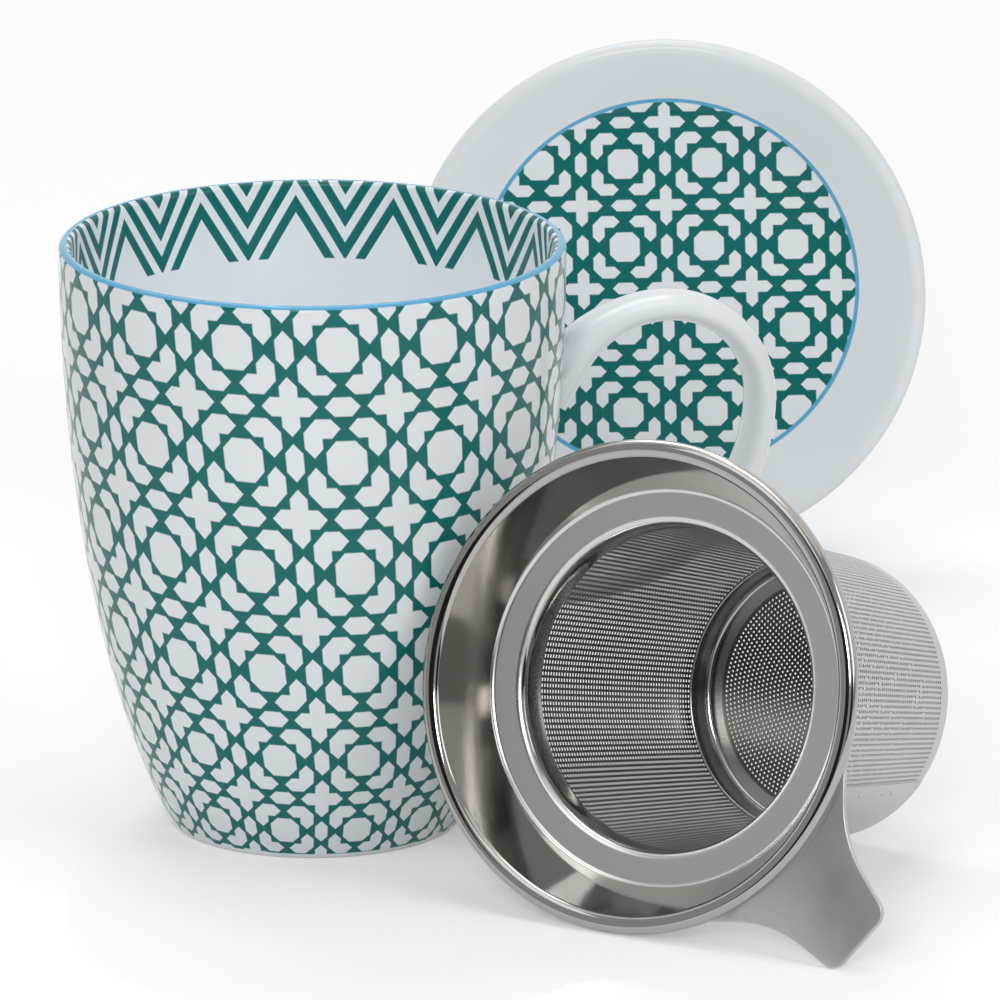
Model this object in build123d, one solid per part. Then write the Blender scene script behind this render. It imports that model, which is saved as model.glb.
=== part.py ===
from build123d import *
import os
from math import asin, atan2, cos, degrees, hypot, radians, sin, sqrt, tan

# A porcelain tea mug, its lift-out steel infuser and its loose porcelain lid, set out on a table.
# Millimetres and degrees. The origin is the middle of the mug's foot, on the table.
# X is to the right and Y is to the back.

# Mug: the outside is a quarter ellipse from the foot to the lip
mug_height = 100.5
rim_diameter = 85.0
foot_diameter = 48.0
belly_overrun = 14.5  # how far under the table the belly's ellipse would close
mug_wall = 3.0
lip_wall = 2.1
lip_taper = 20.0  # height under the lip over which the wall thins
mug_floor = 5.0
foot_ring_width = 4.0
foot_recess = 1.6
foot_round = 1.5
floor_corner = 9.0
lip_round_share = 0.45  # of the lip's wall, for each of its edges

# Handle: an oval strap whose middle line is arcs in one upright plane through the mug's axis
handle_turn = 14.0  # to the back from the mug's right
handle_width = 10.5
handle_thickness = 5.0
handle_crest_height = 85.6
handle_crest_reach = 60.8
handle_reach = 77.4
handle_bottom = 38.0
handle_root_run = 2.05  # level run from the mug's side to the upper root's bend
handle_root_turn = 52.0  # of the upper root, down from level
handle_upper_flare = 1.65  # how much larger the strap's section is inside the wall than along its run
handle_lower_flare = 1.5
handle_flare_share = 0.18  # of the strap's length, for each flared end
root_depth = 2.0  # how far the strap's middle line runs into the wall before it is trimmed

# Infuser funnel: sheet thickness, then the outline down from the lip
flange_inset = 1.5  # from the mug's outer rim to the funnel's outer edge
funnel_sheet = 0.8
lip_width = 2.6
lip_drop = 1.8
lip_bend = 0.9
bowl_depth = 10.8
ledge_diameter = 66.4
ledge_bend = 1.4
throat_diameter = 55.0
throat_bend = 1.2
sleeve_length = 4.5

# Basket: etched cone over the sleeve, closed by a dish
basket_sheet = 0.5
basket_end_diameter = 47.8
infuser_depth = 66.0
base_sheet = 0.5
base_corner = 1.3
base_wall = 4.5
weld_gap = 0.05  # between sheets that are pressed together

# Finger tab, in the plane of the lip
tab_sheet = 1.0
tab_reach = 18.4  # past the funnel's outer edge, as the neck's is
tab_tip_width = 13.6
tab_neck_width = 18.8
tab_neck_reach = 4.0
tab_root_width = 37.0
tab_root_inset = 0.3  # root corners kept inside the lip's outer edge
tab_corner = 2.8
tab_neck_bend = 22.0
tab_wall_gap = 0.2
tab_table_gap = 0.4

# Lid: a shallow dish with a round lip and a locating ring underneath
lid_overhang = 3.2  # past the mug's outer rim
lid_thickness = 3.2
lid_well_diameter = 68.0
lid_rise = 7.0  # of the lip's middle over the well
lid_cove = 9.0
lid_ring_height = 4.0
lid_ring_wall = 3.0
lid_ring_clearance = 0.8  # inside the funnel's bowl, at the ring's foot

# Where the pieces lie
infuser_x = 18.246  # of the mouth's left edge, from the mug's middle
infuser_y = 3.932  # of the mouth's left edge, behind the front of the mug's rim
infuser_heading = -30.7  # turn of the mouth to the left of the viewer
lid_x = 60.8
lid_y = 176.0
lid_heading = -2.0
lid_lean = 4.6

rim_r = rim_diameter / 2
foot_r = foot_diameter / 2
belly_height = mug_height + belly_overrun
belly_bulge = (rim_r - foot_r) / (1 - sqrt(1 - (mug_height / belly_height) ** 2))


def belly_radius(z):
    """Outer radius of the mug at height z."""
    drop = (mug_height - z) / belly_height
    return rim_r - belly_bulge * (1 - sqrt(1 - drop**2))


def wall_at(z):
    """Thickness of the mug's wall at height z."""
    thinning = max(0, 1 - (mug_height - z) / lip_taper)
    return mug_wall - (mug_wall - lip_wall) * thinning**2


def belly_curve(start, end, inset):
    """Smooth line up the mug's side from one height to another, inset from the outside at each height."""
    steps = 16
    heights = [start + (end - start) * i / steps for i in range(steps + 1)]
    return Spline(*[(belly_radius(z) - inset(z), z) for z in heights])


def spun(*edges):
    """Solid of revolution about Z from the edges of a closed outline drawn as (radius, height)."""
    return revolve(Plane.XZ * make_face(edges), Axis.Z)


def spun_sheet(points, bends, thickness):
    """Sheet of revolution about Z whose middle line is a polyline with rounded corners."""
    line = FilletPolyline(*points, radius=bends)
    return revolve(Plane.XZ * trace(line, thickness), Axis.Z)


def mug_blank():
    """The mug's outside as a filled solid."""
    side = belly_curve(0, mug_height, lambda z: 0)
    ends = Polyline((rim_r, mug_height), (0, mug_height), (0, 0), (foot_r, 0))
    return spun(*side.edges(), *ends.edges())


def mug_body(blank):
    inside = belly_curve(mug_floor, mug_height, wall_at)
    ends = Polyline(inside @ 1, (0, mug_height), (0, mug_floor), inside @ 0)
    hollow = spun(*inside.edges(), *ends.edges())
    hollow = fillet(hollow.edges().group_by(Axis.Z)[0], floor_corner)
    recess = Cylinder(foot_r - foot_ring_width, 2 * foot_recess)
    body = blank - hollow - recess
    lip = body.faces().sort_by(Axis.Z)[-1]
    body = fillet(lip.edges(), lip_round_share * lip_wall)
    foot = body.edges().filter_by(GeomType.CIRCLE).group_by(Axis.Z)[0].sort_by(SortBy.RADIUS)[-1]
    return fillet(foot, foot_round)


def mug_handle(blank):
    """Strap swept along the root bend, the outer bow, the lower bow and a straight run back to the wall."""
    bow = handle_reach - handle_crest_reach
    lower_bow = handle_crest_height - bow - handle_bottom
    root_reach = belly_radius(handle_crest_height) + handle_root_run
    root_bend = (handle_crest_reach - root_reach) / sin(radians(handle_root_turn))
    crest = (handle_crest_reach, handle_crest_height - root_bend)
    root = CenterArc(crest, root_bend, 90 + handle_root_turn, -handle_root_turn)
    shoulder = root @ 0
    into_wall = shoulder.X - belly_radius(shoulder.Y) + root_depth
    drop = into_wall * tan(radians(handle_root_turn))
    entry = Line((shoulder.X - into_wall, shoulder.Y - drop), shoulder)
    outer = CenterArc((handle_crest_reach, handle_crest_height - bow), bow, 90, -90)
    lower = CenterArc((handle_reach - lower_bow, handle_crest_height - bow), lower_bow, 0, -90)
    end_reach = belly_radius(handle_bottom) - root_depth
    run = Line((handle_reach - lower_bow, handle_bottom), (end_reach, handle_bottom))
    upright = Plane.XZ.rotated((0, 0, handle_turn))
    path = upright * Wire([entry, root, outer, lower, run])
    stations = {
        0: handle_upper_flare,
        handle_flare_share: 1,
        1 - handle_flare_share: 1,
        1: handle_lower_flare,
    }
    sections = [handle_section(path, share, flare, upright.z_dir) for share, flare in stations.items()]
    return sweep(sections, path, multisection=True) - blank


def handle_section(path, share, flare, across):
    """Oval across the strap at a share of its length."""
    square_on = Plane(origin=path @ share, x_dir=across, z_dir=path % share)
    return square_on * Ellipse(flare * handle_width / 2, flare * handle_thickness / 2)


# Funnel, as radii and heights from the top of its lip, basket downwards
flange_r = rim_r - flange_inset
half_sheet = funnel_sheet / 2
throat_r = throat_diameter / 2
ledge_r = ledge_diameter / 2
wall_top_r = flange_r - lip_width
wall_slope = (wall_top_r - ledge_r) / (bowl_depth - half_sheet)
basket_end_r = basket_end_diameter / 2
basket_bottom = -(infuser_depth - base_corner)
sleeve_top = -(bowl_depth + half_sheet)
taper_run = basket_bottom - sleeve_top
taper = (basket_end_r - basket_sheet - weld_gap - throat_r - half_sheet) / taper_run


def sleeve_radius(z):
    """Middle radius of the funnel's sleeve, which has the basket's taper."""
    return throat_r + taper * (z - sleeve_top)


def basket_radius(z):
    """Inner radius of the basket's wall."""
    return sleeve_radius(z) + half_sheet + weld_gap


def bowl_radius(z):
    """Inner radius of the funnel's bowl at a height under the lip."""
    return wall_top_r + wall_slope * (z + half_sheet) - half_sheet / cos(atan2(wall_slope, 1))


def infuser_funnel():
    lip_r = flange_r - half_sheet
    sleeve_end = sleeve_top - sleeve_length
    points = [
        (lip_r, -lip_drop),
        (lip_r, -half_sheet),
        (wall_top_r, -half_sheet),
        (ledge_r, -bowl_depth),
        (throat_r, -bowl_depth),
        (sleeve_radius(sleeve_end), sleeve_end),
    ]
    return spun_sheet(points, [lip_bend, lip_bend, ledge_bend, throat_bend], funnel_sheet)


def infuser_tab():
    """Flared finger plate under the lip, with its root cut to the bowl."""
    root_reach = sqrt((flange_r - tab_root_inset) ** 2 - (tab_root_width / 2) ** 2)
    wall_outside = bowl_radius(-lip_drop) + funnel_sheet / cos(atan2(wall_slope, 1))
    inner_reach = root_reach - tab_root_width / 2
    outline = [
        (flange_r + tab_reach, tab_tip_width / 2),
        (flange_r + tab_neck_reach, tab_neck_width / 2),
        (root_reach, tab_root_width / 2),
        (inner_reach, tab_root_width / 2),
    ]
    mirrored = [(x, -y) for x, y in reversed(outline)]
    bends = [tab_corner, tab_neck_bend, 0, 0, 0, 0, tab_neck_bend, tab_corner]
    plate = make_face(FilletPolyline(*outline, *mirrored, radius=bends, close=True))
    plate -= Circle(wall_outside + tab_wall_gap)
    return Pos(0, 0, -lip_drop) * extrude(plate, -tab_sheet)


def basket_wall():
    top = -bowl_depth - throat_bend - weld_gap
    outline = Polyline(
        (basket_radius(top), top),
        (basket_radius(top) + basket_sheet, top),
        (basket_radius(basket_bottom) + basket_sheet, basket_bottom),
        (basket_radius(basket_bottom), basket_bottom),
        close=True,
    )
    return spun(*outline.edges())


def basket_base():
    """Dish whose wall follows the inside of the basket."""
    middle = base_sheet / 2
    floor = -infuser_depth + middle
    top = floor + base_wall
    inset = weld_gap + middle
    points = [(0, floor), (basket_radius(floor) - inset, floor), (basket_radius(top) - inset, top)]
    return spun_sheet(points, [base_corner], base_sheet)


def lid():
    """Flat well, coved rim with a round lip, and the locating ring under the well."""
    half = lid_thickness / 2
    lip = (rim_r + lid_overhang - half, lid_rise - half)
    line = FilletPolyline((0, -half), (lid_well_diameter / 2, -half), lip, radius=[lid_cove])
    section = trace(line, lid_thickness) + Pos(*lip) * Circle(half)
    ring_r = bowl_radius(-lid_ring_height) - lid_ring_clearance
    ring_foot = -lid_thickness - lid_ring_height
    ring = Polyline(
        (ring_r - lid_ring_wall, -half),
        (ring_r, -half),
        (ring_r, ring_foot),
        (ring_r - lid_ring_wall, ring_foot),
        close=True,
    )
    return revolve(Plane.XZ * section, Axis.Z) + spun(*ring.edges())


def facing(heading, lean):
    """Direction a disc faces: to the viewer, turned by the heading and tipped up by the lean."""
    turn, tip = radians(heading), radians(lean)
    return Vector(cos(tip) * sin(turn), -cos(tip) * cos(turn), sin(tip))


def infuser_place():
    """Lying on the lip's edge and the basket's end, the tab turned until it just clears the table."""
    lean = degrees(atan2(flange_r - basket_end_r, -basket_bottom - lip_drop))
    height = lip_drop * sin(radians(lean)) + flange_r * cos(radians(lean))
    corner_x, corner_y = flange_r + tab_reach - tab_corner, tab_tip_width / 2 - tab_corner
    room = flange_r - tab_sheet * tan(radians(lean)) - tab_table_gap - tab_corner
    turn = asin(room / hypot(corner_x, corner_y)) - atan2(corner_y, corner_x)
    axis = facing(infuser_heading, lean)
    side = Vector(cos(radians(infuser_heading)), sin(radians(infuser_heading)), 0)
    along_tab = side * cos(turn) - axis.cross(side) * sin(turn)
    middle = Vector(infuser_x, infuser_y - rim_r, height) + side * flange_r
    return Plane(origin=middle, x_dir=along_tab, z_dir=axis)


def lid_place():
    """Standing on the lip, facing the viewer and leaning back."""
    half = lid_thickness / 2
    tip = radians(lid_lean)
    height = (rim_r + lid_overhang - half) * cos(tip) + half - (lid_rise - half) * sin(tip)
    side = Vector(cos(radians(lid_heading)), sin(radians(lid_heading)), 0)
    return Plane(origin=(lid_x, lid_y, height), x_dir=side, z_dir=facing(lid_heading, lid_lean))


blank = mug_blank()
on_table = infuser_place()
pieces = {
    "mug_body": mug_body(blank),
    "mug_handle": mug_handle(blank),
    "infuser_funnel": on_table * infuser_funnel(),
    "infuser_tab": on_table * infuser_tab(),
    "basket_wall": on_table * basket_wall(),
    "basket_base": on_table * basket_base(),
    "lid": lid_place() * lid(),
}

os.makedirs("parts", exist_ok=True)
for name, piece in pieces.items():
    export_step(piece, f"parts/{name}.step")
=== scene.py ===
"""A porcelain tea mug with a lattice print, its lift-out steel infuser and its loose lid."""
from math import acos, asin, atan2, cos, hypot, pi, radians, sin, sqrt, tan

import bmesh
import bpy
from mathutils import Matrix, Vector


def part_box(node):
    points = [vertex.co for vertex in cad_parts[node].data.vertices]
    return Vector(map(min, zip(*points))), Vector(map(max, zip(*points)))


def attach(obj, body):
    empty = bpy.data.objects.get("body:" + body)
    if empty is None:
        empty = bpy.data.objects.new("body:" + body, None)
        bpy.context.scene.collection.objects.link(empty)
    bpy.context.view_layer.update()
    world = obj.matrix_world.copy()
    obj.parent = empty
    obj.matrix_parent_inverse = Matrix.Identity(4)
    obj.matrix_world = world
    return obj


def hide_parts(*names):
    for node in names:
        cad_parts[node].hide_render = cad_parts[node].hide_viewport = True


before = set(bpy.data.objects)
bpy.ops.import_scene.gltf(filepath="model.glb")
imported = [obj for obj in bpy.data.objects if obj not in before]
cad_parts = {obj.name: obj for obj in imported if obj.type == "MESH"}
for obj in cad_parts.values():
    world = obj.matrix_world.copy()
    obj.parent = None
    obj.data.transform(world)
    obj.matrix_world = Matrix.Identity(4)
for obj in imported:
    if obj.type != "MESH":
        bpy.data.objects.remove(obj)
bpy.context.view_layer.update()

# Sizes are in metres. The frame gives the mug's outside.
mug_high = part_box("mug_body")[1]
rim_r = mug_high.x
mug_height = mug_high.z

# Mug
foot_r = 0.024
belly_overrun = 0.0145
wall = 0.003
lip_wall = 0.0021
lip_taper = 0.02  # height under the lip over which the wall thins
mug_floor = 0.005
floor_corner = 0.009
foot_ring_width = 0.004
foot_recess = 0.0016
foot_round = 0.0015
foot_ring_round = 0.0005
side_start = 0.0012  # height where the foot's rounding has run into the side

# Handle
handle_turn = radians(14)
handle_width = 0.0105
handle_thickness = 0.005
handle_crest_height = 0.0856
handle_crest_reach = 0.0608
handle_reach = 0.0774
handle_bottom = 0.038
handle_root_run = 0.00205  # level run from the mug's side to the upper root's bend
handle_root_turn = radians(52)
handle_upper_flare = 1.65
handle_lower_flare = 1.5
handle_flare_share = 0.18
handle_flare_power = 1.5
root_depth = 0.002

# Funnel, with heights from the top of its lip and the basket downwards
flange_inset = 0.0015  # of the funnel's edge, inside the mug's rim
funnel_sheet = 0.0008
lip_width = 0.0026
lip_drop = 0.0018
lip_bend = 0.0009
lip_outer_bend = 0.000882
lip_crown = 0.0002  # rise of the lip's middle over its edges
lip_crown_bend = 0.0019
bowl_depth = 0.0108
ledge_r = 0.0332
ledge_bend = 0.0014
throat_r = 0.0275
throat_bend = 0.0012
sleeve_length = 0.0045

# Basket
basket_sheet = 0.0005
basket_end_r = 0.0239
infuser_depth = 0.066
base_sheet = 0.0005
base_corner = 0.0013
base_wall = 0.0045
weld_gap = 0.00005
hole_rows = 56
hole_columns = 176
hole_web = 0.00022  # half the steel left between holes
foil = 0.00005  # thickness of the pierced sheet
plain_top = 0.0012  # of the wall, under the sleeve's end
plain_end = 0.0026
seam_columns = 20
seam_rise = 0.00014  # of the lapped strip over the wall
seam_turn = radians(-12.4)
weld_inset = 2.2  # columns from the strip's edge to its spot welds
weld_r = 0.00045
weld_rise = 0.0002
weld_shares = (0.18, 0.26, 0.34, 0.42, 0.49, 0.58, 0.75, 0.82)  # down the strip
field_rings = 25
field_pitch = 0.00076
field_hole_r = 0.00023
field_sheet = 0.00035  # thickness of the dish's pierced field

# Finger tab
tab_sheet = 0.001
tab_reach = 0.0594
tab_tip_width = 0.0136
tab_neck_width = 0.0188
tab_neck_reach = 0.045
tab_root_width = 0.037
tab_root_inset = 0.0003
tab_corner = 0.0028
tab_neck_bend = 0.022
tab_wall_gap = 0.0002
tab_table_gap = 0.0004
tab_edge = 0.00022  # easing of its edges

# Lid
lid_overhang = 0.0032
lid_thickness = 0.0032
lid_well_r = 0.034
lid_rise = 0.007
lid_cove = 0.009
lid_ring_height = 0.004
lid_ring_wall = 0.003
lid_ring_clearance = 0.0008
lid_ring_edge = 0.0009  # rounding of the ring's foot

# Places on the table
infuser_x = 0.0535
infuser_y = -0.0595
infuser_heading = radians(-30.7)
lid_x = 0.0608
lid_y = 0.176
lid_heading = radians(-2)
lid_lean = radians(4.6)

# Lattice, in cells across or up from the middle of an octagon. A slant is across and up added.
octagon_side = 0.194
octagon_slant = 0.287
elbow_inside = 0.2195
elbow_outside = 0.393
elbow_slant = 0.664
elbow_point = (0.306, 0.04)  # where one of its ends comes to a point
cross_arm = 0.4145
cross_slant = 0.734
lozenge_point = 0.33  # where its slanting sides would meet
ink_edge = 0.012  # softness of the ink's edge

# Print on the mug
repeats = 15  # lattice cells round the mug
cell_stretch = 1.175  # height over width of a cell on the mug
top_row_height = 0.0936  # of the first row of octagons
top_row_turn = radians(-83.9)  # of an octagon in that row
row_twist = radians(2.25)  # round the mug for each row down
twisted_rows = 4.1  # under which the rows lie straight
top_ease = 0.055  # of a row, by which the first row hangs lower than the rest give
print_front = radians(-78)  # where the rows lie lowest
row_rise = 0.175  # of a row, as the rows climb away from the front
rise_onset = 0.6  # share of that climb gained with each row
row_spread = 0.02  # widening of the front's cells for each row under the start
spread_start = 1.2  # rows under the first
lattice_top = 0.0009  # down the outside, from the lip's crown
lattice_foot = 0.001  # over the table
lip_line_outside = 0.0011  # reach of the blue line from the lip's crown
lip_line_inside = 0.0003
zigzag_height = 0.01372  # of a stroke, from its peak to its foot
zigzag_pitch = 0.00556  # between strokes, down the wall
zigzag_last = 0.0053  # depth of the last stroke's lower edge at a peak
zigzag_stroke = 0.003  # of ink, down the wall
zigzag_end = 0.0132  # depth under which the wall is plain
zigzag_turn = radians(106.5)  # of one foot
print_edge = 0.0001  # softness of the print's ends
line_edge = 0.0002  # softness of a line's sides

# Print on the lid
lid_pitch = 0.01484
lid_octagon = (0.00741, 0.00797)  # middle of one octagon, across and up the lid
lid_print_middle = (0.00013, 0.00056)
lid_print_turn = radians(1.34)
lid_print_r = 0.0333
lid_print_depth = 0.0012  # under the well's face, past which the lid is plain
lid_line_inside = 0.0002  # reach of the blue line from the print's edge
lid_line_outside = 0.0005
lid_ink_spread = 0.017  # of a cell, past the mug's ink

# Glaze, with densities per metre
porcelain_white = (0.84, 0.885, 0.915, 1)
print_green = (0.005, 0.158, 0.147, 1)
print_blue = (0.12, 0.44, 0.70, 1)
ripple_density = 55.0
ripple_depth = 0.0002
ripple_strength = 0.35
speck_density = 420.0
speck_height = 0.06  # against the ripple's
glaze_roughness = 0.1
speck_dulling = 0.08  # most that a speck adds to the roughness
glaze_shade = 0.965  # of the colour, at its darkest
ripple_shading = 0.07  # from there to its lightest
glaze_index = 1.5
glaze_gloss = 0.25

# Steel, with densities per metre
ledge_grey = (0.66, 0.645, 0.622, 1)
# painted shade: the pierced field at the basket's bottom is darkened for the shade there
field_painted_shade_grey = (0.15, 0.146, 0.142, 1)
spun_density = 2600.0
drawn_density = (160.0, 6000.0, 6000.0)  # along, across and through the tab
etched_density = (5000.0, 5000.0, 5000.0)
cloud_density = 90.0
line_tone = 0.9  # of the colour, at the darkest line
line_toning = 0.2  # from there to the lightest
line_strength = 0.5
ledge_edge = 0.0002  # softness of the ledge's sides
field_edge = 0.0003

# Fineness of the meshes
turned_steps = 192  # faces round a turned piece
mug_steps = 224
merge_distance = 1e-7
crease = radians(40)  # between faces, past which an edge shows

# Stage
floor_r = 4
floor_tones = ((0.90, 0.90, 0.90, 1), (0.93, 0.93, 0.93, 1))
floor_tooth_density = 300.0
floor_glow = 0.25  # where the floor is seen
ambient = 0.28  # light of the world, against the white that is seen
lamp_aim = (0.04, 0.02, 0.05)
mug_aim = (0, 0, 0.1)
flag_aim = (infuser_x, infuser_y, 0.05)

# Derived shape of the mug's side, a quarter ellipse
belly_height = mug_height + belly_overrun
belly_bulge = (rim_r - foot_r) / (1 - sqrt(1 - (mug_height / belly_height) ** 2))
cell_turn = 2 * pi / repeats

# Derived shape of the funnel and basket
flange_r = rim_r - flange_inset
half_sheet = funnel_sheet / 2
wall_top_r = flange_r - lip_width
wall_slope = (wall_top_r - ledge_r) / (bowl_depth - half_sheet)
sleeve_top = -(bowl_depth + half_sheet)
sleeve_end = sleeve_top - sleeve_length
basket_top = -bowl_depth - throat_bend - weld_gap
basket_bottom = -(infuser_depth - base_corner)
taper = (basket_end_r - basket_sheet - weld_gap - throat_r - half_sheet) / (basket_bottom - sleeve_top)
rows_top = sleeve_end - plain_top
rows_bottom = basket_bottom + plain_end
rows_middle = (rows_top + rows_bottom) / 2
field_r = (field_rings + 1) * field_pitch


def belly_radius(z):
    """Outer radius of the mug at height z."""
    drop = (mug_height - z) / belly_height
    return rim_r - belly_bulge * (1 - sqrt(1 - drop**2))


def cell_height(r):
    """Height of a lattice cell where the mug has this radius."""
    return cell_stretch * cell_turn * r


def basket_radius(z):
    """Inner radius of the basket's wall at a height under the lip."""
    return throat_r + taper * (z - sleeve_top) + half_sheet + weld_gap


def bowl_radius(z):
    """Inner radius of the funnel's bowl at a height under the lip."""
    return wall_top_r + wall_slope * (z + half_sheet) - half_sheet / cos(atan2(wall_slope, 1))


def facing(heading, lean):
    """Direction a disc faces: to the viewer, turned by the heading and tipped up by the lean."""
    return Vector((cos(lean) * sin(heading), -cos(lean) * cos(heading), sin(lean)))


def frame_matrix(origin, along, axis):
    """Placement whose X is along and whose Z is the axis."""
    across = axis.cross(along)
    return Matrix.Translation(origin) @ Matrix((along, across, axis)).transposed().to_4x4()


def infuser_place():
    """Lying on the lip's edge and the basket's end, the tab turned until it just clears the table."""
    lean = atan2(flange_r - basket_end_r, -basket_bottom - lip_drop)
    height = lip_drop * sin(lean) + flange_r * cos(lean)
    corner_x, corner_y = tab_reach - tab_corner, tab_tip_width / 2 - tab_corner
    room = flange_r - tab_sheet * tan(lean) - tab_table_gap - tab_corner
    turn = asin(room / hypot(corner_x, corner_y)) - atan2(corner_y, corner_x)
    axis = facing(infuser_heading, lean)
    side = Vector((cos(infuser_heading), sin(infuser_heading), 0))
    along_tab = side * cos(turn) - axis.cross(side) * sin(turn)
    return frame_matrix(Vector((infuser_x, infuser_y, height)), along_tab, axis)


def lid_place():
    """Standing on the lip, facing the viewer and leaning back."""
    half = lid_thickness / 2
    height = (rim_r + lid_overhang - half) * cos(lid_lean) + half - (lid_rise - half) * sin(lid_lean)
    side = Vector((cos(lid_heading), sin(lid_heading), 0))
    return frame_matrix(Vector((lid_x, lid_y, height)), side, facing(lid_heading, lid_lean))


infuser_frame = infuser_place()
lid_frame = lid_place()


# Outlines

def arc(centre, radius, start, end, steps):
    """Points along an arc, both ends included."""
    turns = [start + (end - start) * i / steps for i in range(steps + 1)]
    return [(centre[0] + radius * cos(a), centre[1] + radius * sin(a)) for a in turns]


def rounded(points, bends, steps=8):
    """Polyline with an arc of its own radius at each inner corner."""
    line = [points[0]]
    for before, corner, after, bend in zip(points, points[1:], points[2:], bends):
        back = (Vector(before) - Vector(corner)).normalized()
        ahead = (Vector(after) - Vector(corner)).normalized()
        half_angle = acos(max(-1, min(1, back.dot(ahead)))) / 2
        centre = Vector(corner) + (back + ahead).normalized() * bend / sin(half_angle)
        first = Vector(corner) + back * bend / tan(half_angle) - centre
        last = Vector(corner) + ahead * bend / tan(half_angle) - centre
        start = atan2(first.y, first.x)
        turn = (atan2(last.y, last.x) - start + pi) % (2 * pi) - pi
        line += arc(centre, bend, start, start + turn, steps)
    return line + [points[-1]]


def direction_at(line, i):
    """Direction of a line at one of its points."""
    ahead = Vector(line[min(i + 1, len(line) - 1)])
    back = Vector(line[max(i - 1, 0)])
    return (ahead - back).normalized()


def beside(line, offset):
    """The line moved sideways, to its left for a positive offset."""
    moved = []
    for i, point in enumerate(line):
        along = direction_at(line, i)
        moved.append((point[0] - along.y * offset, point[1] + along.x * offset))
    return moved


def sheet_outline(line, thickness, cap_steps=6):
    """Outline round a sheet's middle line, from its start along the left, round its end and back."""
    end, before = Vector(line[-1]), Vector(line[-2])
    heading = atan2(end.y - before.y, end.x - before.x)
    cap = arc(line[-1], thickness / 2, heading + pi / 2, heading - pi / 2, cap_steps)
    return beside(line, thickness / 2)[:-1] + cap + beside(line, -thickness / 2)[-2::-1]


# Meshes

def profile(bm, outline, closed=False):
    """Vertices and edges of a half section drawn as (radius, height), added to the bmesh."""
    verts = [bm.verts.new((r, 0, z)) for r, z in outline]
    edges = [bm.edges.new(pair) for pair in zip(verts, verts[1:])]
    if closed:
        edges.append(bm.edges.new((verts[-1], verts[0])))
    return verts, edges


def turn_round(bm, verts, edges, steps):
    """Spins a half section about Z into a skin that faces outwards."""
    bmesh.ops.spin(bm, geom=verts + edges, axis=(0, 0, 1), angle=2 * pi, steps=steps, use_merge=True)
    bmesh.ops.remove_doubles(bm, verts=bm.verts, dist=merge_distance)
    bmesh.ops.recalc_face_normals(bm, faces=bm.faces)


def spun(bm, outline, steps=turned_steps, closed=False):
    """Surface of revolution about Z, added to the bmesh, from points drawn as (radius, height)."""
    verts, edges = profile(bm, outline, closed)
    turn_round(bm, verts, edges, steps)
    return bm


def verts_of(geom):
    """The vertices among what an operator gives back."""
    return [g for g in geom if isinstance(g, bmesh.types.BMVert)]


def mesh_from(name, bm, material):
    """Mesh of a finished bmesh."""
    mesh = bpy.data.meshes.new(name)
    bm.to_mesh(mesh)
    bm.free()
    mesh.materials.append(material)
    return mesh


def add_object(name, data):
    """Object that holds a mesh, a lamp or a camera, in the scene."""
    made = bpy.data.objects.new(name, data)
    bpy.context.scene.collection.objects.link(made)
    return made


def add_piece(name, bm, body, slot, material, *nodes):
    """Object from a bmesh that is in place, riding on a body and standing for CAD nodes."""
    mesh = mesh_from(name, bm, material)
    mesh.shade_smooth()
    mesh.set_sharp_from_angle(angle=crease)
    piece = add_object(name, mesh)
    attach(piece, body)
    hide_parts(*nodes)
    return piece


def wall_at(z):
    """Thickness of the mug's wall at height z."""
    thinning = max(0, 1 - (mug_height - z) / lip_taper)
    return wall - (wall - lip_wall) * thinning**2


def mug_outline():
    """Half section from the axis under the foot, up the outside, over the lip and down to the axis inside.

    Returns the points, and the index of the lip's crown."""
    ring_r = foot_r - foot_ring_width
    side_foot = (belly_radius(side_start), side_start)
    corners = [(0, foot_recess), (ring_r, foot_recess), (ring_r, 0), (foot_r, 0), side_foot]
    foot = rounded(corners, [foot_ring_round, foot_ring_round, foot_round])[:-1]
    lip_r = lip_wall / 2
    lip_base = mug_height - lip_r
    steps = 64
    crown_steps = 12
    side = [side_start + (lip_base - side_start) * i / steps for i in range(steps + 1)]
    inside = [lip_base + (mug_floor - lip_base) * i / steps for i in range(1, steps + 1)]
    outside_line = foot + [(belly_radius(z), z) for z in side]
    crown = arc((rim_r - lip_r, lip_base), lip_r, 0, pi, crown_steps)[1:]
    wall_line = [(belly_radius(z) - wall_at(z), z) for z in inside if z > mug_floor + floor_corner]
    floor_edge = (belly_radius(mug_floor) - wall, mug_floor)
    bend = rounded([wall_line[-1], floor_edge, (0, mug_floor)], [floor_corner], 12)[1:]
    crown_middle = len(outside_line) + crown_steps // 2 - 1
    return outside_line + crown + wall_line + bend, crown_middle


def mug_mesh():
    """The mug, with each point's distance from the lip's crown and lattice row kept as attributes."""
    outline, crown = mug_outline()
    bm = bmesh.new()
    reach_layer = bm.verts.layers.float.new("lip_reach")
    row_layer = bm.verts.layers.float.new("print_row")
    verts, edges = profile(bm, outline)
    reach = 0
    row = 0
    for previous, vert in zip(verts[crown::-1], verts[crown - 1::-1]):
        step = (vert.co - previous.co).length
        middle_r = (vert.co.x + previous.co.x) / 2
        reach -= step
        row += step / cell_height(max(middle_r, foot_r / 2))
        vert[reach_layer] = reach
        vert[row_layer] = row
    reach = 0
    for previous, vert in zip(verts[crown:], verts[crown + 1:]):
        reach += (vert.co - previous.co).length
        vert[reach_layer] = reach
    turn_round(bm, verts, edges, mug_steps)
    return bm


def rows_to(height):
    """Lattice rows from the lip's crown down to a height on the outside."""
    steps = 40
    rows = 0
    for i in range(steps):
        z0 = mug_height + (height - mug_height) * i / steps
        z1 = mug_height + (height - mug_height) * (i + 1) / steps
        step = hypot(belly_radius(z1) - belly_radius(z0), z1 - z0)
        rows += step / cell_height(belly_radius((z0 + z1) / 2))
    return rows


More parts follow.
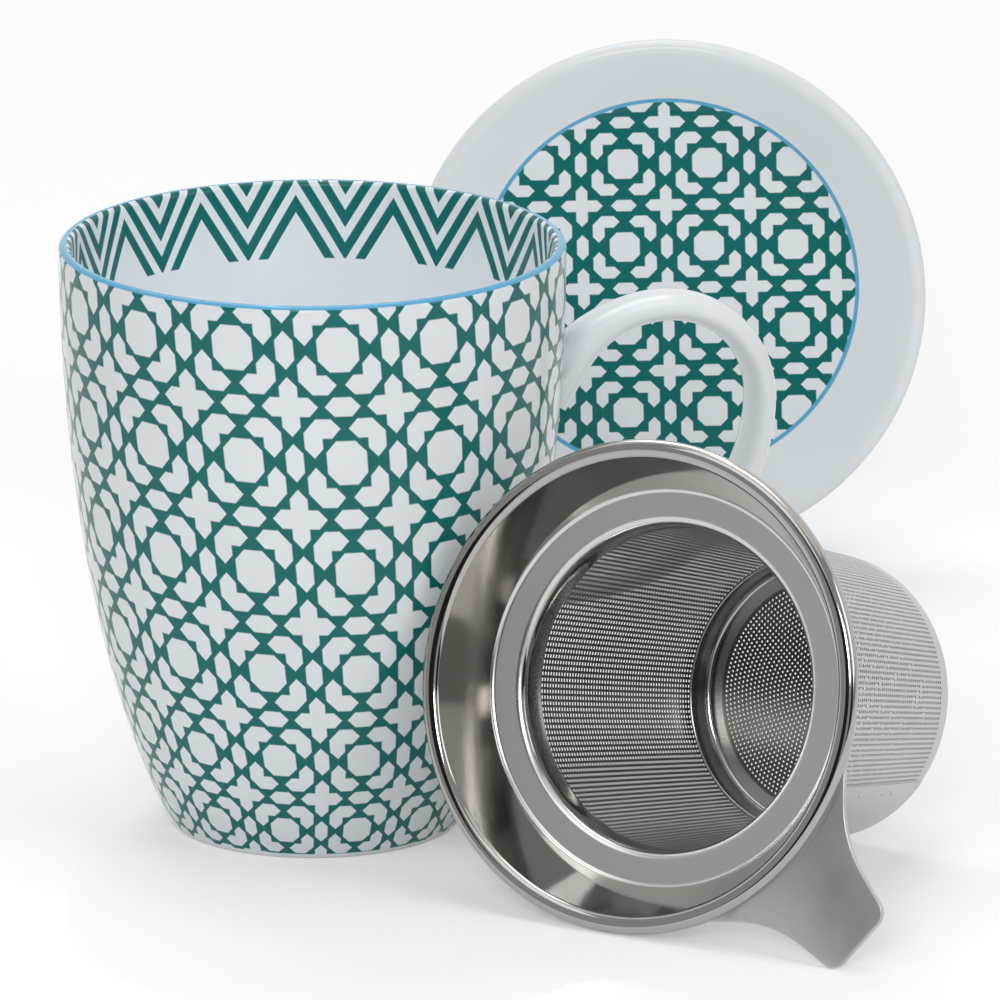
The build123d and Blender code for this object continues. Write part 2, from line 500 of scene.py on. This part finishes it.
def handle_line():
    """Middle line of the strap as (reach, height): entry, root bend, outer bow, lower bow and run."""
    bow = handle_reach - handle_crest_reach
    lower_bow = handle_crest_height - bow - handle_bottom
    root_reach = belly_radius(handle_crest_height) + handle_root_run
    root_bend = (handle_crest_reach - root_reach) / sin(handle_root_turn)
    crest = (handle_crest_reach, handle_crest_height - root_bend)
    root = arc(crest, root_bend, pi / 2 + handle_root_turn, pi / 2, 16)
    into_wall = root[0][0] - belly_radius(root[0][1]) + root_depth
    entry = (root[0][0] - into_wall, root[0][1] - into_wall * tan(handle_root_turn))
    outer = arc((handle_crest_reach, handle_crest_height - bow), bow, pi / 2, 0, 20)
    lower = arc((handle_reach - lower_bow, handle_crest_height - bow), lower_bow, 0, -pi / 2, 28)
    end = (belly_radius(handle_bottom) - root_depth, handle_bottom)
    run_shares = (0.33, 0.66)
    runs = [((1 - t) * lower[-1][0] + t * end[0], handle_bottom) for t in run_shares]
    middle = ((entry[0] + root[0][0]) / 2, (entry[1] + root[0][1]) / 2)
    return [entry, middle] + root + outer[1:] + lower[1:] + runs + [end]


def flare_at(share):
    """Size of the strap's section at a share of its length: fuller where it runs into the wall."""
    upper = max(0, 1 - share / handle_flare_share) ** handle_flare_power
    lower = max(0, 1 - (1 - share) / handle_flare_share) ** handle_flare_power
    return 1 + (handle_upper_flare - 1) * upper + (handle_lower_flare - 1) * lower


def handle_mesh():
    """Oval drawn along the strap's middle line."""
    line = handle_line()
    lengths = [0]
    for a, b in zip(line, line[1:]):
        lengths.append(lengths[-1] + hypot(b[0] - a[0], b[1] - a[1]))
    stations = []
    for i, (reach, height) in enumerate(line):
        heading = direction_at(line, i)
        along = Vector((heading.x, 0, heading.y))
        across = Vector((0, 1, 0))
        flare = flare_at(lengths[i] / lengths[-1])
        turned = Matrix((across, along.cross(across), along)).transposed().to_4x4()
        size = Matrix.Diagonal((flare * handle_width / 2, flare * handle_thickness / 2, 1, 1))
        stations.append(Matrix.Translation((reach, 0, height)) @ turned @ size)
    bm = bmesh.new()
    ring = bmesh.ops.create_circle(bm, segments=40, radius=1, cap_ends=True)["verts"]
    bmesh.ops.transform(bm, matrix=stations[0], verts=ring)
    edges = bm.edges[:]
    for before, station in zip(stations, stations[1:]):
        made = bmesh.ops.extrude_edge_only(bm, edges=edges)["geom"]
        edges = [g for g in made if isinstance(g, bmesh.types.BMEdge)]
        bmesh.ops.transform(bm, matrix=station @ before.inverted(), verts=verts_of(made))
    bmesh.ops.contextual_create(bm, geom=edges)
    bmesh.ops.rotate(bm, verts=bm.verts, cent=(0, 0, 0), matrix=Matrix.Rotation(handle_turn, 3, "Z"))
    bmesh.ops.recalc_face_normals(bm, faces=bm.faces)
    return bm


def lid_mesh():
    """Dished plate with a coved rim and round lip, and the locating ring under it."""
    half = lid_thickness / 2
    lip = (rim_r + lid_overhang - half, lid_rise - half)
    line = rounded([(0, -half), (lid_well_r, -half), lip], [lid_cove], 10)
    bm = spun(bmesh.new(), sheet_outline(line, lid_thickness, 12))
    ring_r = bowl_radius(-lid_ring_height) - lid_ring_clearance
    inner_r = ring_r - lid_ring_wall
    foot = -lid_thickness - lid_ring_height
    corners = [(inner_r, -half), (inner_r, foot), (ring_r, foot), (ring_r, -half)]
    spun(bm, rounded(corners, [lid_ring_edge, lid_ring_edge], 5), closed=True)
    bmesh.ops.transform(bm, matrix=lid_frame, verts=bm.verts)
    return bm


def funnel_mesh():
    """Lip, bowl, ledge, throat and sleeve as one bent sheet."""
    lip_r = flange_r - half_sheet
    points = [
        (throat_r + taper * (sleeve_end - sleeve_top), sleeve_end),
        (throat_r, -bowl_depth),
        (ledge_r, -bowl_depth),
        (wall_top_r, -half_sheet - lip_crown),
        ((wall_top_r + lip_r) / 2, -half_sheet),
        (lip_r, -half_sheet - lip_crown),
        (lip_r, -lip_drop),
    ]
    line = rounded(points, [throat_bend, ledge_bend, lip_bend, lip_crown_bend, lip_outer_bend], 10)
    start = Vector(line[0])
    ahead = Vector(line[1])
    heading = atan2(ahead.y - start.y, ahead.x - start.x)
    first_cap = arc(line[0], half_sheet, heading - pi / 2, heading - 3 * pi / 2, 6)
    outline = sheet_outline(line, funnel_sheet) + first_cap[1:-1]
    bm = spun(bmesh.new(), outline, closed=True)
    bmesh.ops.transform(bm, matrix=infuser_frame, verts=bm.verts)
    return bm


def tab_mesh():
    """Flared plate, its root cut to the bowl and its edges eased."""
    root_reach = sqrt((flange_r - tab_root_inset) ** 2 - (tab_root_width / 2) ** 2)
    cut_r = bowl_radius(-lip_drop) + funnel_sheet / cos(atan2(wall_slope, 1)) + tab_wall_gap
    cut_turn = asin(tab_root_width / 2 / cut_r)
    neck = (tab_neck_reach, tab_neck_width / 2)
    side = [(tab_reach, tab_tip_width / 2), neck, (root_reach, tab_root_width / 2)]
    right = [(x, -y) for x, y in reversed(side)]
    tip_middle = (tab_reach, 0)
    left = rounded([tip_middle] + side, [tab_corner, tab_neck_bend], 8)[1:]
    right = rounded(right + [tip_middle], [tab_neck_bend, tab_corner], 8)[:-1]
    root = arc((0, 0), cut_r, cut_turn, -cut_turn, 16)
    bm = bmesh.new()
    plate = bm.faces.new([bm.verts.new((x, y, -lip_drop)) for x, y in left + root + right])
    made = bmesh.ops.extrude_face_region(bm, geom=[plate])["geom"]
    bmesh.ops.translate(bm, verts=verts_of(made), vec=(0, 0, -tab_sheet))
    bmesh.ops.recalc_face_normals(bm, faces=bm.faces)
    rims = [e for e in bm.edges if abs(e.verts[0].co.z - e.verts[1].co.z) < merge_distance]
    bmesh.ops.bevel(bm, geom=rims, offset=tab_edge, affect="EDGES", segments=3, profile=0.5, material=-1)
    bmesh.ops.transform(bm, matrix=infuser_frame, verts=bm.verts)
    return bm


def around_seam(point):
    """Turn of a point round the basket, from the middle of the seam."""
    return (atan2(point.y, point.x) - seam_turn + pi) % (2 * pi) - pi


def basket_mesh(start, end, plain_before, plain_after):
    """Band of the cone of thin sheet, pierced by rows of small holes, with a plain lapped strip down it.

    Inner faces take the second material, whose darker tone is painted shade for the inside of the basket."""
    rows = hole_rows // 2
    heights = [start + (end - start) * i / rows for i in range(rows + 1)]
    heights = plain_before + heights + plain_after
    bm = spun(bmesh.new(), [(basket_radius(z) + basket_sheet, z) for z in heights], hole_columns)
    bm.faces.ensure_lookup_table()
    if bm.faces[0].normal.dot(bm.faces[0].calc_center_median() * Vector((1, 1, 0))) < 0:
        bmesh.ops.reverse_faces(bm, faces=bm.faces)
    seam_half = seam_columns * pi / hole_columns
    seam = [f for f in bm.faces if abs(around_seam(f.calc_center_median())) < seam_half]
    pierced = [f for f in set(bm.faces) - set(seam) if end < f.calc_center_median().z < start]
    bmesh.ops.inset_individual(bm, faces=pierced, thickness=hole_web, use_even_offset=True)
    bmesh.ops.delete(bm, geom=pierced, context="FACES")
    lapped = bmesh.ops.extrude_face_region(bm, geom=seam)["geom"]
    lift = 1 + seam_rise / basket_end_r
    bmesh.ops.scale(bm, vec=(lift, lift, 1), verts=verts_of(lapped))
    bmesh.ops.delete(bm, geom=[f for f in seam if f.is_valid], context="FACES")
    outer = set(bm.faces)
    bmesh.ops.solidify(bm, geom=bm.faces[:], thickness=foil)
    for face in set(bm.faces) - outer:
        face.material_index = 1
    welds(bm, heights[0], heights[-1])
    bmesh.ops.transform(bm, matrix=infuser_frame, verts=bm.verts)
    return bm


def welds(bm, top, bottom):
    """Spot welds along the edge of the lapped strip, as low domes."""
    for share in weld_shares:
        z = basket_top + (basket_bottom - basket_top) * share
        if bottom < z < top:
            r = basket_radius(z) + basket_sheet + seam_rise
            turn = seam_turn + (seam_columns / 2 - weld_inset) * 2 * pi / hole_columns
            face_out = Matrix.Rotation(turn, 4, "Z") @ Matrix.Translation((r, 0, z))
            dome = Matrix.Diagonal((weld_rise, weld_r, weld_r, 1))
            bmesh.ops.create_uvsphere(bm, u_segments=12, v_segments=8, radius=1, matrix=face_out @ dome)


def on_ring(point):
    """Moves a point of a hexagon's even grid to the same ring of a round grid."""
    sextant = pi / 3
    turn = atan2(point.y, point.x) % (2 * pi)
    whole = turn // sextant
    part = turn - whole * sextant
    spread = sin(part) + sin(sextant - part)
    ring = point.length * spread / sin(sextant)
    around = (whole + sin(part) / spread) * sextant
    return Vector((ring * cos(around), ring * sin(around), 0))


def pierced_disc(bm):
    """Flat disc with rings of round holes, six more in each ring than in the one inside it."""
    cornered = Matrix.Rotation(pi / 6, 4, "Z")
    bmesh.ops.create_circle(bm, segments=6, radius=field_r, cap_ends=True, cap_tris=True, matrix=cornered)
    bmesh.ops.subdivide_edges(bm, edges=bm.edges[:], cuts=field_rings, use_grid_fill=True)
    for vert in bm.verts:
        vert.co = on_ring(vert.co)
    middles = [v for v in bm.verts if v.co.length < field_r - field_pitch / 2]
    opened = bmesh.ops.bevel(
        bm, geom=middles, offset=field_hole_r, affect="VERTICES", segments=1, profile=0.5, material=-1
    )
    bmesh.ops.delete(bm, geom=opened["faces"], context="FACES")
    return bm.faces[:]


def base_mesh():
    """Dish pressed into the basket's end: a wall and rim of plain sheet round a field of holes."""
    middle = base_sheet / 2
    low = -infuser_depth + middle
    top = low + base_wall
    inset = weld_gap + middle
    bm = bmesh.new()
    made = bmesh.ops.extrude_face_region(bm, geom=pierced_disc(bm))["geom"]
    bmesh.ops.translate(bm, verts=verts_of(made), vec=(0, 0, field_sheet))
    bmesh.ops.translate(bm, verts=bm.verts, vec=(0, 0, low - field_sheet / 2))
    points = [
        (field_r - base_sheet, low),
        (basket_radius(low) - inset, low),
        (basket_radius(top) - inset, top),
    ]
    line = rounded(points, [base_corner], 8)
    spun(bm, sheet_outline(line, base_sheet), closed=True)
    bmesh.ops.transform(bm, matrix=infuser_frame, verts=bm.verts)
    return bm


# Shader building blocks

class Nodes:
    """A node tree with short ways to add and join nodes."""

    def __init__(self, tree):
        self.tree = tree

    def add(self, kind, **settings):
        node = self.tree.nodes.new(kind)
        for name, value in settings.items():
            setattr(node, name, value)
        return node

    def put(self, socket, value):
        """Joins a socket to another, or sets its own value."""
        if isinstance(value, bpy.types.NodeSocket):
            self.tree.links.new(value, socket)
        else:
            socket.default_value = value

    def math(self, operation, *values, clamp=False):
        node = self.add("ShaderNodeMath", operation=operation, use_clamp=clamp)
        for socket, value in zip(node.inputs, values):
            self.put(socket, value)
        return node.outputs[0]

    def least(self, *values):
        result = values[0]
        for value in values[1:]:
            result = self.math("MINIMUM", result, value)
        return result

    def most(self, *values):
        result = values[0]
        for value in values[1:]:
            result = self.math("MAXIMUM", result, value)
        return result

    def less(self, a, b):
        return self.math("SUBTRACT", a, b)

    def plus(self, a, b):
        return self.math("ADD", a, b)

    def times(self, a, b):
        return self.math("MULTIPLY", a, b)

    def span(self, x, y):
        """Length of a flat step."""
        return self.math("SQRT", self.plus(self.times(x, x), self.times(y, y)))

    def between(self, value, low, high, soft):
        """1 where the value lies from low to high, with soft edges."""
        rise = self.step(self.less(value, low), soft)
        fall = self.step(self.less(high, value), soft)
        return self.times(rise, fall)

    def step(self, value, soft):
        """0 below zero and 1 above it, over a soft edge."""
        return self.math("MULTIPLY_ADD", value, 1 / soft, 0.5, clamp=True)

    def mix(self, share, a, b, blend="MIX"):
        node = self.add("ShaderNodeMix", data_type="RGBA", blend_type=blend)
        self.put(node.inputs[0], share)
        self.put(node.inputs[6], a)
        self.put(node.inputs[7], b)
        return node.outputs[2]

    def split(self, vector):
        node = self.add("ShaderNodeSeparateXYZ")
        self.put(node.inputs[0], vector)
        return node.outputs

    def join(self, x, y, z):
        node = self.add("ShaderNodeCombineXYZ")
        for socket, value in zip(node.inputs, (x, y, z)):
            self.put(socket, value)
        return node.outputs[0]

    def noise(self, vector, scale, detail=2.0):
        node = self.add("ShaderNodeTexNoise")
        self.put(node.inputs["Vector"], vector)
        node.inputs["Scale"].default_value = scale
        node.inputs["Detail"].default_value = detail
        return node.outputs["Fac"]

    def place(self):
        return self.add("ShaderNodeTexCoord").outputs["Object"]

    def mapped(self, vector, location, rotation, scale=(1, 1, 1)):
        """The vector read in a frame that is moved, turned and scaled."""
        node = self.add("ShaderNodeMapping", vector_type="TEXTURE")
        self.put(node.inputs["Vector"], vector)
        node.inputs["Location"].default_value = location
        node.inputs["Rotation"].default_value = rotation
        node.inputs["Scale"].default_value = scale
        return node.outputs["Vector"]

    def local_place(self, matrix):
        """Object coordinates read in a piece's own frame."""
        return self.mapped(self.place(), matrix.to_translation(), matrix.to_euler())

    def stretched(self, vector, densities):
        """The vector with a density of its own along each axis."""
        return self.join(*[self.times(part, density) for part, density in zip(self.split(vector), densities)])

    def seen(self):
        """1 for the rays of a straight view, a reflection or clear glass."""
        path = self.add("ShaderNodeLightPath").outputs
        return self.most(path["Is Camera Ray"], path["Is Glossy Ray"], path["Is Transmission Ray"])

    def attribute(self, name):
        return self.add("ShaderNodeAttribute", attribute_name=name).outputs["Fac"]

    def group(self, group, **inputs):
        node = self.add("ShaderNodeGroup")
        node.node_tree = group
        for name, value in inputs.items():
            self.put(node.inputs[name], value)
        return node.outputs

    def bump(self, height, distance, strength=1.0):
        node = self.add("ShaderNodeBump")
        self.put(node.inputs["Height"], height)
        node.inputs["Distance"].default_value = distance
        node.inputs["Strength"].default_value = strength
        return node.outputs["Normal"]


def new_group(name, inputs, outputs):
    """Empty shader group with named sockets, and its input and output nodes."""
    group = bpy.data.node_groups.new(name, "ShaderNodeTree")
    for socket, kind in inputs.items():
        group.interface.new_socket(socket, in_out="INPUT", socket_type=kind)
    for socket, kind in outputs.items():
        group.interface.new_socket(socket, in_out="OUTPUT", socket_type=kind)
    nodes = Nodes(group)
    return nodes, nodes.add("NodeGroupInput").outputs, nodes.add("NodeGroupOutput").inputs


def lattice_group():
    """Ink of the octagon lattice. A cell is one unit wide, with an octagon at each whole number.

    Spread is how far the ink has run into the white shapes."""
    n, given, result = new_group(
        "lattice_print",
        {"Cell": "NodeSocketVector", "Spread": "NodeSocketFloat"},
        {"Ink": "NodeSocketFloat"},
    )
    x, y, _ = n.split(given["Cell"])
    folded = []
    for value in (x, y):
        whole = n.math("ROUND", value)
        folded.append(n.math("ABSOLUTE", n.less(value, whole)))
    far = n.most(*folded)
    near = n.least(*folded)
    both = n.plus(far, near)
    octagon = n.least(n.less(octagon_side, far), n.less(octagon_slant, both))
    end_far, end_near = elbow_point
    elbow_end = n.less(n.less(near, n.math("ABSOLUTE", n.less(far, end_far))), end_near)
    elbow_band = n.least(n.less(far, elbow_inside), n.less(elbow_outside, far))
    elbow = n.least(elbow_band, elbow_end, n.less(elbow_slant, both))
    arm = n.less(far, cross_arm)
    cross = n.least(arm, n.less(both, cross_slant))
    lozenge = n.least(arm, n.less(n.less(far, lozenge_point), near))
    white = n.most(octagon, elbow, cross, lozenge)
    n.put(result["Ink"], n.step(n.less(given["Spread"], white), ink_edge))
    return n.tree


def glaze_group():
    """Slow ripple of a fired glaze, its faint specks and its gloss."""
    n, given, result = new_group(
        "glaze",
        {"Place": "NodeSocketVector"},
        {"Ripple": "NodeSocketFloat", "Roughness": "NodeSocketFloat", "Shade": "NodeSocketFloat"},
    )
    slow = n.noise(given["Place"], ripple_density, detail=1.0)
    fine = n.noise(given["Place"], speck_density)
    n.put(result["Ripple"], n.plus(slow, n.times(fine, speck_height)))
    n.put(result["Roughness"], n.plus(glaze_roughness, n.times(fine, speck_dulling)))
    n.put(result["Shade"], n.plus(glaze_shade, n.times(slow, ripple_shading)))
    return n.tree


def steel_group():
    """Fine lines and clouding of worked steel, along the stretched place that it is given."""
    n, given, result = new_group(
        "worked_steel",
        {"Lines": "NodeSocketVector", "Place": "NodeSocketVector"},
        {"Height": "NodeSocketFloat", "Tone": "NodeSocketFloat", "Cloud": "NodeSocketFloat"},
    )
    lines = n.noise(given["Lines"], 1.0, detail=4.0)
    n.put(result["Height"], lines)
    n.put(result["Tone"], n.plus(line_tone, n.times(lines, line_toning)))
    n.put(result["Cloud"], n.noise(given["Place"], cloud_density, detail=3.0))
    return n.tree


lattice_print = lattice_group()
glaze = glaze_group()
worked_steel = steel_group()


def new_material(name):
    """Material with a Principled shader, as its nodes and that shader's sockets."""
    material = bpy.data.materials.new(name)
    material.use_nodes = True
    nodes = Nodes(material.node_tree)
    return material, nodes, material.node_tree.nodes["Principled BSDF"].inputs


def glazed(n, shader, colour):
    """Fired glaze over a colour."""
    fired = n.group(glaze, Place=n.place())
    n.put(shader["Base Color"], n.mix(1.0, colour, fired["Shade"], blend="MULTIPLY"))
    n.put(shader["Roughness"], fired["Roughness"])
    n.put(shader["Normal"], n.bump(fired["Ripple"], ripple_depth, ripple_strength))
    shader["IOR"].default_value = glaze_index
    shader["Specular IOR Level"].default_value = glaze_gloss


def white_porcelain():
    """Plain glaze of the handle."""
    material, n, shader = new_material("white_porcelain")
    glazed(n, shader, porcelain_white)
    return material


def mug_cell(n, turn):
    """Place in the mug's lattice, in cells round and down, with the drift of the laid print."""
    row = n.less(n.attribute("print_row"), rows_to(top_row_height))
    row = n.less(row, n.times(n.most(n.less(1.0, row), 0.0), top_ease))
    aside = n.less(turn, print_front)
    climb = n.times(n.less(1.0, n.math("COSINE", aside)), row_rise)
    row = n.plus(row, n.times(climb, n.math("MULTIPLY", row, rise_onset, clamp=True)))
    twist = n.times(n.least(row, twisted_rows), row_twist)
    widening = n.times(n.most(n.less(row, spread_start), 0.0), row_spread)
    spread = n.times(n.math("SINE", aside), widening)
    around = n.less(n.less(n.less(turn, top_row_turn), twist), spread)
    return n.join(n.times(around, 1 / cell_turn), row, 0.0)


def zigzag(n, turn, depth, reach):
    """Ink of the nested zigzags inside the rim."""
    around = n.times(n.less(turn, zigzag_turn), 1 / cell_turn)
    swing = n.times(n.math("ABSOLUTE", n.less(around, n.math("ROUND", around))), 2.0)
    peak_depth = n.less(depth, n.times(n.less(1.0, swing), zigzag_height))
    rise = n.less(zigzag_last, peak_depth)
    stroke = n.between(n.math("FLOORED_MODULO", rise, zigzag_pitch), 0.0, zigzag_stroke, line_edge)
    kept = n.times(n.step(rise, line_edge), n.step(n.less(zigzag_end, depth), line_edge))
    return n.times(n.times(stroke, kept), n.step(n.less(reach, lip_line_inside), print_edge))


def mug_porcelain():
    """Lattice outside, nested zigzags inside the rim and a blue line on the lip."""
    material, n, shader = new_material("mug_porcelain")
    x, y, z = n.split(n.place())
    turn = n.math("ARCTAN2", y, x)
    reach = n.attribute("lip_reach")
    lattice = n.group(lattice_print, Cell=mug_cell(n, turn), Spread=0.0)["Ink"]
    outside = n.step(n.less(-lattice_top, reach), print_edge)
    above_foot = n.step(n.less(z, lattice_foot), print_edge)
    lattice = n.times(lattice, n.times(outside, above_foot))
    inside = zigzag(n, turn, n.less(mug_height, z), reach)
    colour = n.mix(n.most(lattice, inside), porcelain_white, print_green)
    line = n.between(reach, -lip_line_outside, lip_line_inside, line_edge)
    glazed(n, shader, n.mix(line, colour, print_blue))
    return material


def lid_porcelain():
    """Lattice in the well, ringed by a blue line, and plain white elsewhere."""
    material, n, shader = new_material("lid_porcelain")
    x, y, z = n.split(n.local_place(lid_frame))
    cell = n.mapped(n.join(x, y, 0.0), (*lid_octagon, 0), (0, 0, lid_print_turn), (lid_pitch, lid_pitch, 1))
    ink = n.group(lattice_print, Cell=cell, Spread=lid_ink_spread)["Ink"]
    radius = n.span(n.less(x, lid_print_middle[0]), n.less(y, lid_print_middle[1]))
    face = n.step(n.plus(z, lid_print_depth), line_edge)
    well = n.times(n.step(n.less(lid_print_r, radius), line_edge), face)
    colour = n.mix(n.times(ink, well), porcelain_white, print_green)
    line = n.between(radius, lid_print_r - lid_line_inside, lid_print_r + lid_line_outside, line_edge)
    glazed(n, shader, n.mix(n.times(line, face), colour, print_blue))
    return material


def steel(name, tone, roughness, lines, line_depth, clouding, patch=None):
    """Worked steel. lines takes the nodes and gives the stretched place of its fine lines.

    patch is a duller part of it: a function that gives its mask, the roughness that it adds, and its tone,
    which on the dish's field is painted shade."""
    material, n, shader = new_material(name)
    local = n.local_place(infuser_frame)
    worked = n.group(worked_steel, Lines=lines(n, local), Place=local)
    colour = n.mix(1.0, tone, worked["Tone"], blend="MULTIPLY")
    rough = n.plus(roughness, n.times(worked["Cloud"], clouding))
    if patch:
        mask, dulling, patch_tone = patch
        share = mask(n, local)
        colour = n.mix(share, colour, patch_tone)
        rough = n.plus(rough, n.times(share, dulling))
    shader["Metallic"].default_value = 1.0
    n.put(shader["Base Color"], colour)
    n.put(shader["Roughness"], rough)
    n.put(shader["Normal"], n.bump(worked["Height"], line_depth, line_strength))
    return material


def axis_distance(n, local):
    """Distance from the infuser's axis."""
    x, y, _ = n.split(local)
    return n.span(x, y)


def ledge_band(n, local):
    """The flat ledge round the throat."""
    z = n.split(local)[2]
    return n.between(z, -bowl_depth, -bowl_depth + funnel_sheet, ledge_edge)


def pierced_field(n, local):
    """The dish's round field of holes."""
    return n.step(n.less(field_r, axis_distance(n, local)), field_edge)


def spun_lines(n, local):
    """Rings left by spinning: fine across the radius and height, endless round the axis."""
    z = n.split(local)[2]
    return n.join(n.times(axis_distance(n, local), spun_density), n.times(z, spun_density), 0.0)


def drawn_lines(n, local):
    """Grain along the tab."""
    return n.stretched(local, drawn_density)


def etched_grain(n, local):
    """Fine even tooth of etched sheet."""
    return n.stretched(local, etched_density)


polished_steel = steel(
    "polished_steel",
    tone=(0.43, 0.412, 0.389, 1),
    roughness=0.05,
    lines=spun_lines,
    line_depth=0.000003,
    clouding=0.05,
    patch=(ledge_band, 0.16, ledge_grey),
)
satin_steel = steel(
    "satin_steel",
    tone=(0.5, 0.494, 0.488, 1),
    roughness=0.3,
    lines=drawn_lines,
    line_depth=0.000012,
    clouding=0.1,
)
etched_steel = steel(
    "etched_steel",
    tone=(0.58, 0.571, 0.556, 1),
    roughness=0.42,
    lines=etched_grain,
    line_depth=0.00002,
    clouding=0.1,
)
# Inner faces of the basket: the tone, about half the outside's, is painted shade for the inside of the basket
etched_inside_painted_shade = steel(
    "etched_inside_painted_shade",
    tone=(0.29, 0.27, 0.25, 1),
    roughness=0.26,
    lines=etched_grain,
    line_depth=0.00001,
    clouding=0.1,
)
# The pierced field's dark tone is painted shade for the basket's bottom; its added roughness is the sheet's
# own
dish_steel = steel(
    "dish_steel",
    tone=(0.44, 0.431, 0.418, 1),
    roughness=0.1,
    lines=spun_lines,
    line_depth=0.000003,
    clouding=0.05,
    patch=(pierced_field, 0.1, field_painted_shade_grey),
)


# Pieces

add_piece("mug_body_glazed", mug_mesh(), "mug", "printed_porcelain", mug_porcelain(), "mug_body")
add_piece("mug_handle_glazed", handle_mesh(), "mug", "white_porcelain", white_porcelain(), "mug_handle")
add_piece("lid_glazed", lid_mesh(), "lid", "printed_porcelain", lid_porcelain(), "lid")
add_piece("funnel_polished", funnel_mesh(), "infuser", "polished_steel", polished_steel, "infuser_funnel")
add_piece("finger_tab", tab_mesh(), "infuser", "satin_steel", satin_steel, "infuser_tab")
basket_bands = {
    "basket_pierced_upper": (rows_top, rows_middle, [basket_top], []),
    "basket_pierced_lower": (rows_middle, rows_bottom, [], [basket_bottom]),
}
for name, span in basket_bands.items():
    band = add_piece(name, basket_mesh(*span), "infuser", "perforated_steel", etched_steel, "basket_wall")
    # second material: the inner faces, painted darker as the shade inside the basket
    band.data.materials.append(etched_inside_painted_shade)
add_piece("basket_dish", base_mesh(), "infuser", "perforated_steel", dish_steel, "basket_base")


# Stage

def floor():
    """Wide pale table top."""
    bm = bmesh.new()
    bmesh.ops.create_circle(bm, cap_ends=True, segments=96, radius=floor_r)
    material, n, shader = new_material("floor_paper")
    n.put(shader["Base Color"], n.mix(n.noise(n.place(), floor_tooth_density), *floor_tones))
    shader["Roughness"].default_value = 0.9
    shader["Specular IOR Level"].default_value = 0.0
    shader["Emission Color"].default_value = (1, 1, 1, 1)
    n.put(shader["Emission Strength"], n.times(n.seen(), floor_glow))
    table = add_object("floor", mesh_from("floor", bm, material))


def seen_by_steel(name, bm, material):
    """Stage card that shows only in polished surfaces."""
    card = add_object(name, mesh_from(name, bm, material))
    card.visible_camera = False
    card.visible_diffuse = False
    card.visible_shadow = False
    card.visible_transmission = False


def studio_flag(name, place, size, tone):
    """Dark card that faces the infuser and gives its steel dark bands."""
    bm = bmesh.new()
    bmesh.ops.create_grid(bm, x_segments=1, y_segments=1, size=0.5)
    bmesh.ops.scale(bm, vec=(*size, 1), verts=bm.verts)
    facing_infuser = (Vector(flag_aim) - Vector(place)).to_track_quat("Z", "Y").to_matrix().to_4x4()
    bmesh.ops.transform(bm, matrix=Matrix.Translation(place) @ facing_infuser, verts=bm.verts)
    material, _, shader = new_material(name)
    shader["Base Color"].default_value = (tone, tone, tone, 1)
    shader["Roughness"].default_value = 1.0
    seen_by_steel(name, bm, material)


def studio_wall(radius, height, tone):
    """Grey wall curved round the front, which steel shows in place of the white."""
    bm = bmesh.new()
    post = [bm.verts.new((-radius, 0, 0)), bm.verts.new((-radius, 0, height))]
    bmesh.ops.spin(bm, geom=post + [bm.edges.new(post)], axis=(0, 0, 1), angle=pi, steps=48)
    material, _, shader = new_material("grey_wall")
    shader["Base Color"].default_value = (0, 0, 0, 1)
    shader["Specular IOR Level"].default_value = 0.0
    shader["Emission Color"].default_value = (tone, tone, tone, 1)
    shader["Emission Strength"].default_value = 1.0
    seen_by_steel("grey_wall", bm, material)


def area_light(name, place, aim, size, power, spread=pi):
    """Soft lamp at a place, turned to its aim."""
    light = bpy.data.lights.new(name, "AREA")
    light.shape = "RECTANGLE"
    light.size, light.size_y = size
    light.energy = power
    light.spread = spread
    lamp = add_object(name, light)
    lamp.location = place
    lamp.rotation_mode = "QUATERNION"
    lamp.rotation_quaternion = (Vector(aim) - Vector(place)).to_track_quat("-Z", "Y")


def studio_world():
    """Even soft light. Straight views, reflections and clear glass see it as white."""
    world = bpy.data.worlds.new("studio")
    world.use_nodes = True
    n = Nodes(world.node_tree)
    background = world.node_tree.nodes["Background"].inputs
    background["Color"].default_value = (1, 1, 1, 1)
    n.put(background["Strength"], n.math("MULTIPLY_ADD", n.seen(), 1 - ambient, ambient))
    bpy.context.scene.world = world


def camera():
    """Long lens at the photograph's angle, lowered to hold the infuser in the frame."""
    pixels = 1000
    focal_pixels = 20326.24
    pitch, roll = 0.27083, 0.0029  # radians
    fitted_place = Vector((0.031267, -3.285505, 0.974798))
    lowered = 0.0067
    sensor = 36.0
    forward = Vector((0, cos(pitch), -sin(pitch)))
    down = Vector((0, -sin(pitch), -cos(pitch)))
    right = Vector((1, 0, 0)) * cos(roll) + down * sin(roll)
    up = forward.cross(right) * -1
    lens = bpy.data.cameras.new("camera")
    lens.sensor_width = sensor
    lens.lens = focal_pixels * sensor / pixels
    lens.clip_end = 20
    viewer = add_object("camera", lens)
    turned = Matrix((right, up, -forward)).transposed().to_4x4()
    viewer.matrix_world = Matrix.Translation(fitted_place + down * lowered) @ turned
    bpy.context.scene.camera = viewer


floor()
area_light("key", (-0.9, -0.9, 1.3), lamp_aim, size=(0.9, 0.9), power=3)
area_light("fill", (1.3, -0.7, 0.8), lamp_aim, size=(0.8, 1.0), power=4.8)
area_light("front", (-0.15, -1.6, 0.8), lamp_aim, size=(0.6, 0.4), power=7.8)
area_light("top", (0.05, 0.1, 1.5), lamp_aim, size=(0.7, 0.7), power=3.5)
area_light("back", (-0.2, 1.0, 1.5), lamp_aim, size=(1.0, 0.6), power=7)
area_light("into_mug", (-0.05, 0.5, 0.85), mug_aim, size=(0.02, 0.02), power=0.009, spread=radians(6))
studio_wall(radius=2.6, height=4.0, tone=0.45)
studio_flag("left_flag", (-0.75, -1.3, 0.35), size=(1.1, 0.7), tone=0.02)
studio_flag("right_flag", (1.25, -1.9, 0.3), size=(1.2, 0.9), tone=0.02)
studio_world()
camera()
bpy.context.scene.view_settings.view_transform = "Standard"
